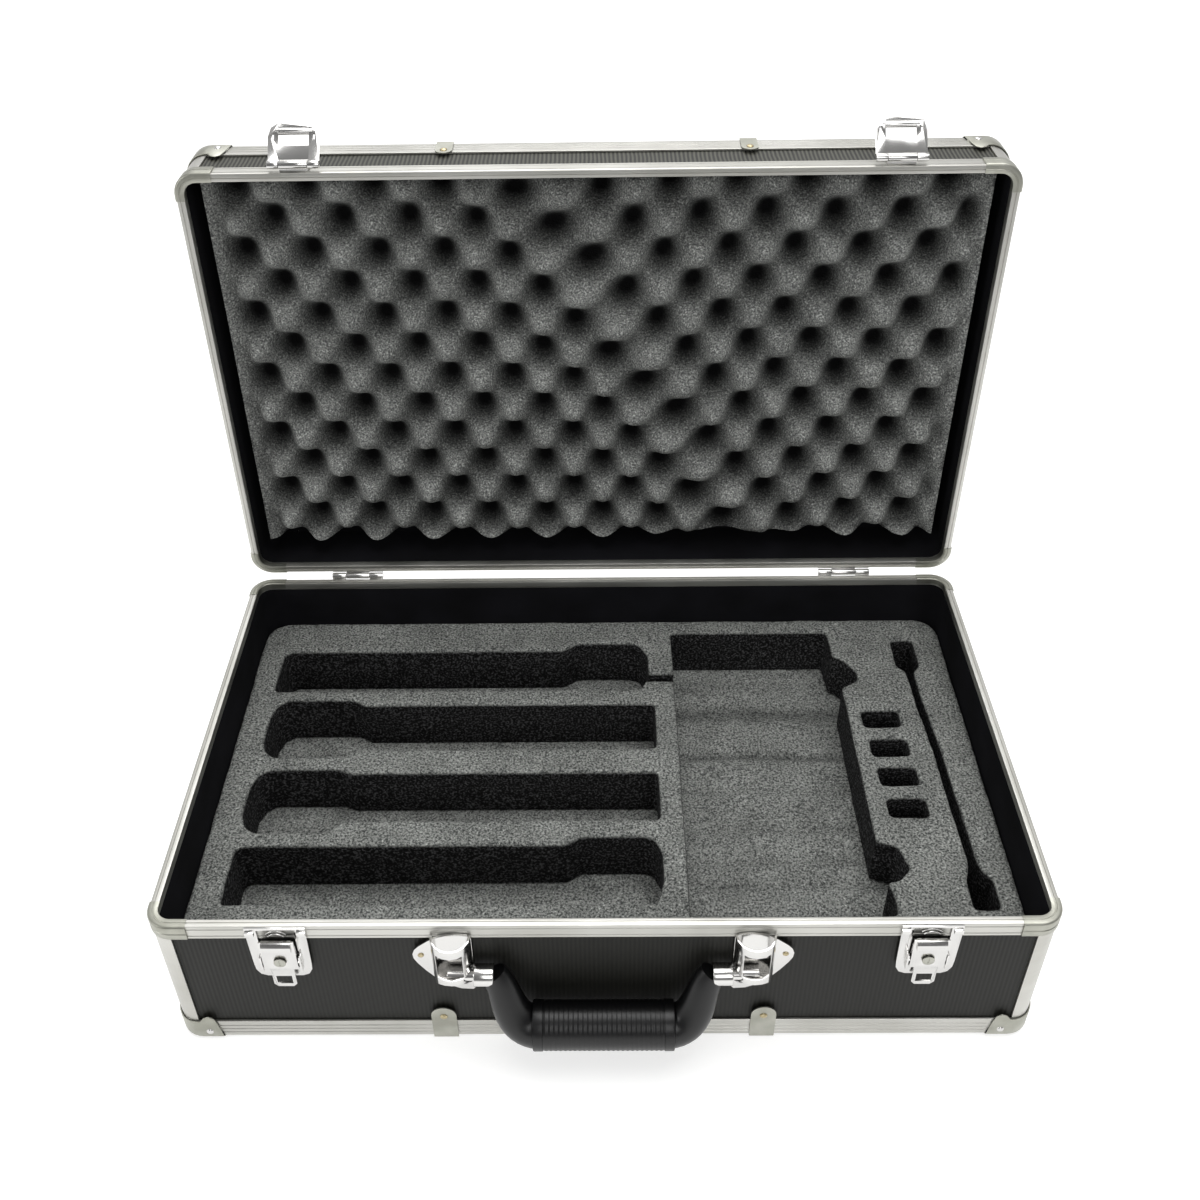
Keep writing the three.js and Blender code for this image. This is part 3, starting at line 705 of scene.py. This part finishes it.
# Dents left across the pad by what it carried: place, half width and depth, in metres.
PAD_DENTS = (
    (0.083, 0.0055, 0.0026),
    (0.076, 0.003, 0.001),
    (0.0415, 0.0028, 0.0024),
    (0.012, 0.004, 0.0007),
    (-0.02, 0.003, 0.0008),
    (-0.045, 0.003, 0.0006),
    (-0.062, 0.004, 0.0009),
    (-0.088, 0.004, 0.0007),
    (-0.101, 0.002, 0.0006),
)
DENT_SWAY = 0.002
DENT_SHADE_PER_MM = 0.19
BROAD_LUMPS, FINE_LUMPS = 45, 160  # per metre
FOAM_SMOOTH = 80


def soft_copy(node, name, finish, voxel, wobble, dents=()):
    """A CAD foam block remeshed fine, its edges eased and its faces uneven and dented."""
    mesh = bmesh.new()
    mesh.from_mesh(frame["nodes"][node].data)
    bmesh.ops.remove_doubles(mesh, verts=mesh.verts, dist=0.00001)
    data = bpy.data.meshes.new(name + "_rough")
    mesh.to_mesh(data)
    mesh.free()
    rough = bpy.data.objects.new(name + "_rough", data)
    bpy.context.scene.collection.objects.link(rough)
    remesh = rough.modifiers.new("cells", "REMESH")
    remesh.mode = "VOXEL"
    remesh.voxel_size = voxel
    evaluated = rough.evaluated_get(bpy.context.evaluated_depsgraph_get())
    mesh = bmesh.new()
    mesh.from_mesh(evaluated.to_mesh())
    bpy.data.objects.remove(rough)
    bmesh.ops.smooth_vert(
        mesh, verts=mesh.verts, factor=0.5, use_axis_x=True, use_axis_y=True, use_axis_z=True
    )
    mesh.normal_update()
    shade = mesh.verts.layers.float.new("painted_hollow_shade")
    for vert in mesh.verts:
        lump = noise.noise(vert.co * BROAD_LUMPS) + 0.5 * noise.noise(vert.co * FINE_LUMPS)
        vert.co += vert.normal * wobble * lump
        upward = max(0.0, vert.normal.z)
        for middle, width, deep in dents:
            near = (vert.co.y - middle - DENT_SWAY * noise.noise(vert.co * 20)) / width
            dent = math.exp(-near * near) * upward
            vert.co.z -= deep * dent
            # Painted shade: the colour of each dent is darkened by its depth.
            vert[shade] += DENT_SHADE_PER_MM * dent * deep / MM
    bmesh.ops.transform(mesh, matrix=Matrix.Scale(1 / MM, 4), verts=mesh.verts)
    made = keep(mesh, name, finish, "base", FOAM_SMOOTH, (node,))


class ATTACHE_OT_foam(bpy.types.Operator):
    """Die-cut foam layer and the pad under it"""

    bl_idname = "attache.foam"
    bl_label = "Die-cut foam"

    def execute(self, context):
        voxel = context.scene.attache_sizes.foam_voxel
        soft_copy("base_foam_insert", "die_cut_foam", "foam_cut", voxel, 0.0004)
        soft_copy("base_foam_pad", "foam_base_pad", "foam_pad", voxel * 1.4, 0.0005, PAD_DENTS)
        return {"FINISHED"}


# Egg-crate sheet in the closed lid: its outline, and its levels from the parting plane.
EGG_HALF_WIDTH, EGG_FRONT, EGG_BACK = 229.0, -137.0, 124.0
EGG_PEAK, EGG_PIT, EGG_FOOT = 8.0, 35.0, 40.6
EGG_BORDER = 11.0
EGG_GRID = (250, 150)


def egg_depth(x, y, sway, pitch_x, pitch_y):
    """How deep the sheet is at a place, from 0 on a peak to 1 in a pit.

    The sheet is stretched a little, and a crease slants across it that puts the pits out of step.
    """
    far = (EGG_BACK - y) / (EGG_BACK - EGG_FRONT)
    crease = x + 45 - 135 * (1 - far)
    past = min(1.0, max(0.0, crease / 40 + 0.5))
    beside = math.exp(-((crease / 50) ** 2))
    centre = -77 - 80 * far
    stretch = 1.025 + 0.045 * far * far
    across = (x - centre) / stretch + centre - 0.3 * pitch_x * past
    along = y - EGG_FRONT - 9 - 7 * beside
    wave = -math.cos(2 * math.pi * (across + 1.5 * sway) / pitch_x)
    wave *= math.cos(2 * math.pi * (along + 2.0 * sway) / pitch_y)
    depth = 0.5 + 0.5 * wave
    inside = min(1.0, (EGG_HALF_WIDTH - abs(x)) / EGG_BORDER)
    border = 0.25
    return border + (depth - border) * inside * inside * (3 - 2 * inside)


class ATTACHE_OT_lid_foam(bpy.types.Operator):
    """Egg-crate foam in the lid"""

    bl_idname = "attache.lid_foam"
    bl_label = "Lid foam"

    def execute(self, context):
        sizes = context.scene.attache_sizes
        pitch_x, pitch_y = sizes.egg_pitch_x / MM, sizes.egg_pitch_y / MM
        mesh = bmesh.new()
        shade = mesh.verts.layers.float.new("painted_hollow_shade")
        bmesh.ops.create_grid(mesh, x_segments=EGG_GRID[0], y_segments=EGG_GRID[1], size=1)
        size = (EGG_HALF_WIDTH, (EGG_BACK - EGG_FRONT) / 2, 1)
        bmesh.ops.scale(mesh, vec=size, verts=mesh.verts)
        bmesh.ops.translate(mesh, vec=(0, (EGG_BACK + EGG_FRONT) / 2, 0), verts=mesh.verts)
        for vert in mesh.verts:
            x, y = vert.co.x, vert.co.y
            sway = noise.noise(Vector((x * 0.012, y * 0.012, 4.0)))
            grain = noise.noise(Vector((x * 0.35, y * 0.35, 0.0)))
            depth = egg_depth(x, y, sway, pitch_x, pitch_y)
            # Painted shade in the colour, darkest at the bottom of the pits.
            vert[shade] = min(1.0, max(0.0, 1.55 * depth - 0.42))
            vert.co.z = EGG_PEAK + (EGG_PIT - EGG_PEAK) * depth + 0.35 * grain + 0.8 * sway
        border = [e for e in mesh.edges if e.is_boundary]
        _, verts = pull(mesh, border, (0, 0, 0))
        for vert in verts:
            vert.co.z = EGG_FOOT
        bmesh.ops.contextual_create(mesh, geom=[e for e in mesh.edges if e.is_boundary])
        bmesh.ops.transform(mesh, matrix=HALVES["lid"], verts=mesh.verts)
        tidy(mesh, 0.0001)
        made = keep(mesh, "egg_crate_foam", "foam_egg", "lid", FOAM_SMOOTH, ("lid_foam",))
        return {"FINISHED"}


# ---------------------------------------------------------------- latches, hasps and hinges
SPRING_HEIGHT = 91
SPRING_BOWS = ((0.6, 6.6), (1.4, 5.2))  # distance in front of the case, radius of the bow
SPRING_WIRE = 0.45
SPRING_REACH = 0.9


class ATTACHE_OT_latches(bpy.types.Operator):
    """Catch plates, levers and key cylinders"""

    bl_idname = "attache.latches"
    bl_label = "Latches"

    def execute(self, context):
        for side, sign in SIDES:
            refined("latch_plate_" + side, "nickel", 0.3, 2)
            refined("latch_lever_" + side, "nickel", 0.3, 2)
            refined("key_cylinder_" + side, "pressed_metal", 0.15, 2)
            self.spring(side, sign)
        return {"FINISHED"}

    def spring(self, side, sign):
        """A bowed wire spring seen over the lever."""
        mesh = bmesh.new()
        for out, radius in SPRING_BOWS:
            ring = bmesh.ops.create_circle(mesh, segments=8, radius=SPRING_WIRE)["verts"]
            turn = Matrix.Rotation(math.pi / 2, 4, "Y")
            place = Matrix.Translation((0, FRONT - out, SPRING_HEIGHT + radius))
            bmesh.ops.transform(mesh, matrix=place @ turn, verts=ring)
            edges = ring_edges(ring)
            for angle in (-SPRING_REACH, SPRING_REACH):
                copy = bmesh.ops.duplicate(mesh, geom=ring + edges)["geom"]
                bmesh.ops.spin(
                    mesh,
                    geom=copy,
                    cent=(0, FRONT - out, SPRING_HEIGHT),
                    axis=(0, 1, 0),
                    angle=angle,
                    steps=8,
                    use_merge=False,
                )
            bmesh.ops.delete(mesh, geom=ring, context="VERTS")
        bmesh.ops.translate(mesh, vec=(sign * LATCH_X, 0, 0), verts=mesh.verts)
        tidy(mesh, 0.01)
        keep(mesh, "latch_spring_" + side, "nickel", "base", 60)


class ATTACHE_OT_hasps(bpy.types.Operator):
    """Hasps and their mounts on the lid"""

    bl_idname = "attache.hasps"
    bl_label = "Hasps"

    def execute(self, context):
        for side, _ in SIDES:
            refined("hasp_" + side, "nickel", 0.3, 2)
            refined("hasp_mount_" + side, "nickel", 0.25, 2)
        return {"FINISHED"}


class ATTACHE_OT_hinges(bpy.types.Operator):
    """Hinges between the base and the lid"""

    bl_idname = "attache.hinges"
    bl_label = "Hinges"

    def execute(self, context):
        for side, _ in SIDES:
            refined("hinge_base_leaf_" + side, "nickel", 0.15, 2)
            refined("hinge_lid_leaf_" + side, "nickel", 0.15, 2)
        return {"FINISHED"}


# ---------------------------------------------------------------- handle
HANDLE_PIVOT = (0, FRONT - 6.2, 66.4)
HANDLE_LEAN = -11.5
HANDLE_TURN = Matrix.Translation(HANDLE_PIVOT) @ Matrix.Rotation(
    math.radians(HANDLE_LEAN), 4, "X"
)
GRIP_DROP = 36.6
GRIP_HALF_LENGTH, GRIP_COLLAR = 38.5, 5.5
GRIP_DEEP, GRIP_TALL = 13, 14
# Control points of an arm's curve, from the pivot down to the grip, as distance out and height.
ARM_CURVE = ((58.2, 1.0), (50.5, -10), (52.5, -GRIP_DROP), (36, -GRIP_DROP))
ARM_STEPS = 20
# Girth along one rib of the grip, as place along the rib and share of the collar's size.
GRIP_RIB = ((0.15, 0.972), (0.32, 0.984), (0.5, 0.987), (0.68, 0.984), (0.85, 0.972))


class ATTACHE_OT_handle(bpy.types.Operator):
    """Handle: housings, pivots, arms and ribbed grip"""

    bl_idname = "attache.handle"
    bl_label = "Handle"

    def execute(self, context):
        for side, sign in SIDES:
            refined("handle_bracket_" + side, "nickel", 0.35, 3)
            refined("handle_pivot_" + side, "nickel", 0.5, 3)
            self.arm(side, sign)
        self.grip(context.scene.attache_sizes.grip_ribs)
        return {"FINISHED"}

    def arm(self, side, sign):
        """A tapered elbow from the pivot down to the grip's collar."""
        ends = [Vector((out, 0, height)) for out, height in ARM_CURVE]
        sections = []
        for i in range(ARM_STEPS + 1):
            t = i / ARM_STEPS
            u = 1 - t
            at = ends[0] * u**3 + ends[1] * 3 * u * u * t + ends[2] * 3 * u * t * t + ends[3] * t**3
            along = (ends[1] - ends[0]) * u * u + (ends[2] - ends[1]) * 2 * u * t
            along += (ends[3] - ends[2]) * t * t
            turn = along.to_track_quat("Z", "Y").to_matrix().to_4x4()
            wide, deep = 5.9 + 6.4 * t**1.2, 7.4 + 5.0 * t
            sections.append(Matrix.Translation(at) @ turn @ Matrix.Diagonal((wide, deep, 1, 1)))
        mesh = bmesh.new()
        ring = bmesh.ops.create_circle(mesh, segments=32, radius=1)["verts"]
        draw_through(mesh, ring, sections)
        bmesh.ops.scale(mesh, vec=(sign, 1, 1), verts=mesh.verts)
        bmesh.ops.transform(mesh, matrix=HANDLE_TURN, verts=mesh.verts)
        tidy(mesh)
        keep(mesh, "handle_arm_" + side, "grip", "handle", 50)

    def grip(self, ribs):
        """Oval sleeve with a plain collar at each end and ribs between."""
        half, inner = GRIP_HALF_LENGTH, GRIP_HALF_LENGTH - GRIP_COLLAR
        collar = [(half, 0.9), (half - 0.4, 0.985), (half - 1, 1.0), (inner, 1.0),
                  (inner - 0.2, 0.965)]
        ribbed = inner - 0.6
        pitch = 2 * ribbed / ribs
        rings = [(-x, girth) for x, girth in collar]
        for i in range(ribs):
            rings += [(-ribbed + (i + t) * pitch, girth) for t, girth in GRIP_RIB]
        rings += reversed(collar)
        mesh = bmesh.new()
        ring = bmesh.ops.create_circle(mesh, segments=64, radius=1)["verts"]
        bmesh.ops.rotate(mesh, matrix=Matrix.Rotation(math.pi / 2, 3, "Y"), verts=ring)
        for vert in ring:
            vert.co.x = 0
        draw_through(mesh, ring, [
            Matrix.Translation((x, 0, -GRIP_DROP))
            @ Matrix.Diagonal((1, GRIP_DEEP * girth, GRIP_TALL * girth, 1))
            for x, girth in rings
        ])
        bmesh.ops.transform(mesh, matrix=HANDLE_TURN, verts=mesh.verts)
        tidy(mesh)
        keep(mesh, "handle_ribbed_grip", "grip", "handle", 50, ("handle_grip",))


# ---------------------------------------------------------------- small fittings
CLIP_THICKNESS = 0.7
# Edge clips: the half, then half width, height and the rivet's drop from the top.
CLIPS = (("base", 7.0, 28.5, 8), ("lid", 5.0, 19.0, 5))


def strap_clip(mesh, x, half_width, top):
    """A pressed strap over the edge, round-topped, with heights from the half's outer face."""
    arc = [
        (x + half_width * math.cos(a), top - half_width + half_width * math.sin(a))
        for a in (i * math.pi / 12 for i in range(13))
    ]
    points = [(x + half_width, 0.5), *arc, (x - half_width, 0.5)]
    plate(mesh, [(px, FRONT - 0.3, pz) for px, pz in points], (0, -CLIP_THICKNESS, 0))


class ATTACHE_OT_fittings(bpy.types.Operator):
    """Edge clips and the rivets that hold the fittings"""

    bl_idname = "attache.fittings"
    bl_label = "Clips and rivets"

    def execute(self, context):
        from_outside = Matrix.Translation((0, 0, LID_OUTSIDE)) @ Matrix.Diagonal((1, 1, -1, 1))
        places = {
            "base": Matrix.Translation((0, 0, PARTING_HEIGHT - BASE_OUTSIDE)),
            "lid": HALVES["lid"] @ from_outside,
        }
        for side, sign in SIDES:
            x = sign * CLIP_X
            for half, half_width, top, drop in CLIPS:
                mesh = bmesh.new()
                strap_clip(mesh, x, half_width, top)
                self.fit(mesh, places[half], f"{half}_edge_clip_{side}", "pressed_metal", half, 40)
                mesh = bmesh.new()
                domed_rivet(mesh, (x, FRONT - 1.0, top - drop), (0, -1, 0), 2.2)
                self.fit(mesh, places[half], f"{half}_clip_rivet_{side}", "brass", half, 60)
            mesh = bmesh.new()
            domed_rivet(mesh, (sign * BRACKET_RIVET_X, FRONT - 1.5, 77.5), (0, -1, 0), 1.7)
            self.fit(mesh, Matrix(), "bracket_rivet_" + side, "brass", "base", 60)
            mesh = bmesh.new()
            domed_rivet(mesh, (sign * LATCH_X, FRONT - 1.3, 13.5), (0, -1, 0), 2.0)
            self.fit(mesh, HALVES["lid"], "hasp_rivet_" + side, "nickel", "lid", 60)
        return {"FINISHED"}

    def fit(self, mesh, place, name, finish, body, smooth):
        """Puts a small fitting in its place."""
        bmesh.ops.transform(mesh, matrix=place, verts=mesh.verts)
        tidy(mesh)
        keep(mesh, name, finish, body, smooth)


# ---------------------------------------------------------------- stage
FLOOR_HALF_SIZE, FLOOR_MIDDLE, FLOOR_HEIGHT = 6, 2, -0.0027
# Softboxes: name, place, what each is aimed at, side in metres and power in watts.
SOFTBOXES = (
    ("overhead_softbox", (0.2, 0.1, 2.0), (0, 0, 0.1), 1.6, 30),
    ("rear_softbox", (-0.2, 1.9, 2.2), (0, 0, 0.1), 1.6, 20),
    ("left_softbox", (-1.7, -0.9, 0.9), (0, 0, 0.1), 0.7, 7),
    ("front_softbox", (0.3, -2.1, 1.4), (0, 0, 0.2), 1.2, 13),
)
DARK_SIDE = 0.25
CAMERA_PLACE = (0.0003, -0.55, 0.6681)
CAMERA_YAW, CAMERA_PITCH, CAMERA_ROLL = -0.951, 37.824, -1.043


class ATTACHE_OT_stage(bpy.types.Operator):
    """Pale floor, soft lights and the camera"""

    bl_idname = "attache.stage"
    bl_label = "Stage"

    def execute(self, context):
        self.floor(context)
        self.studio(context)
        for name, place, target, size, power in SOFTBOXES:
            self.softbox(context, name, place, target, size, power)
        self.camera(context)
        context.scene.view_settings.view_transform = "Standard"
        return {"FINISHED"}

    def floor(self, context):
        mesh = bmesh.new()
        bmesh.ops.create_grid(mesh, x_segments=8, y_segments=8, size=FLOOR_HALF_SIZE)
        bmesh.ops.translate(mesh, vec=(0, FLOOR_MIDDLE, FLOOR_HEIGHT), verts=mesh.verts)
        data = bpy.data.meshes.new("floor")
        mesh.to_mesh(data)
        mesh.free()
        floor = bpy.data.objects.new("floor", data)
        data.materials.append(finish_of("floor"))
        context.scene.collection.objects.link(floor)

    def studio(self, context):
        """Light from all round, dim on the camera's side so that plated parts have contrast."""
        look = context.scene.attache_look
        world = bpy.data.worlds.new("studio")
        world.use_nodes = True
        tree = world.node_tree
        sky = tree.nodes["Background"]
        sky.inputs["Color"].default_value = (*look.sky, 1)
        towards = add_node(tree, "ShaderNodeTexCoord").outputs["Generated"]
        depth = add_node(tree, "ShaderNodeSeparateXYZ", links={"Vector": towards}).outputs["Y"]
        fill = add_node(
            tree,
            "ShaderNodeMapRange",
            values={
                "From Min": -0.75,
                "From Max": 0.35,
                "To Min": look.fill * DARK_SIDE,
                "To Max": look.fill,
            },
            links={"Value": depth},
        )
        tree.links.new(fill.outputs["Result"], sky.inputs["Strength"])
        context.scene.world = world

    def softbox(self, context, name, place, target, size, power):
        data = bpy.data.lights.new(name, "AREA")
        data.shape, data.size, data.energy = "SQUARE", size, power
        lamp = bpy.data.objects.new(name, data)
        lamp.location = place
        lamp.rotation_euler = (Vector(target) - Vector(place)).to_track_quat("-Z", "Y").to_euler()
        context.scene.collection.objects.link(lamp)

    def camera(self, context):
        """A camera a little above the open case, turned by yaw, pitch and roll."""
        data = bpy.data.cameras.new("camera")
        data.lens, data.sensor_width = 38.74, 36
        data.shift_x, data.shift_y = 0.0139, -0.0473
        data.clip_start, data.clip_end = 0.01, 50
        camera = bpy.data.objects.new("camera", data)
        yaw, pitch, roll = (math.radians(a) for a in (CAMERA_YAW, CAMERA_PITCH, CAMERA_ROLL))
        level = math.cos(pitch)
        ahead = Vector((math.sin(yaw) * level, math.cos(yaw) * level, -math.sin(pitch)))
        right = Vector((math.cos(yaw), -math.sin(yaw), 0))
        up = right.cross(ahead)
        across = right * math.cos(roll) + up * math.sin(roll)
        upward = up * math.cos(roll) - right * math.sin(roll)
        turn = Matrix((across, upward, -ahead)).transposed().to_4x4()
        camera.matrix_world = Matrix.Translation(CAMERA_PLACE) @ turn
        context.scene.collection.objects.link(camera)
        context.scene.camera = camera


STEPS = (
    ATTACHE_OT_stage,
    ATTACHE_OT_shell,
    ATTACHE_OT_corners,
    ATTACHE_OT_linings,
    ATTACHE_OT_foam,
    ATTACHE_OT_lid_foam,
    ATTACHE_OT_latches,
    ATTACHE_OT_hasps,
    ATTACHE_OT_hinges,
    ATTACHE_OT_handle,
    ATTACHE_OT_fittings,
)


class ATTACHE_PT_panel(bpy.types.Panel):
    """The case's steps, in order"""

    bl_idname = "ATTACHE_PT_panel"
    bl_label = "Attache case"
    bl_space_type = "VIEW_3D"
    bl_region_type = "UI"
    bl_category = "Attache case"

    def draw(self, context):
        for step in STEPS:
            self.layout.operator(step.bl_idname)
        for group in (context.scene.attache_sizes, context.scene.attache_look):
            for name in group.__annotations__:
                self.layout.prop(group, name)


CLASSES = (AttacheSizes, AttacheLook, *STEPS, ATTACHE_PT_panel)


def register():
    for made in CLASSES:
        bpy.utils.register_class(made)
    bpy.types.Scene.attache_sizes = PointerProperty(type=AttacheSizes)
    bpy.types.Scene.attache_look = PointerProperty(type=AttacheLook)


def unregister():
    del bpy.types.Scene.attache_sizes
    del bpy.types.Scene.attache_look
    for made in reversed(CLASSES):
        bpy.utils.unregister_class(made)


def main():
    register()
    for step in STEPS:
        group, name = step.bl_idname.split(".")
        getattr(getattr(bpy.ops, group), name)()


if __name__ == "__main__":
    main()
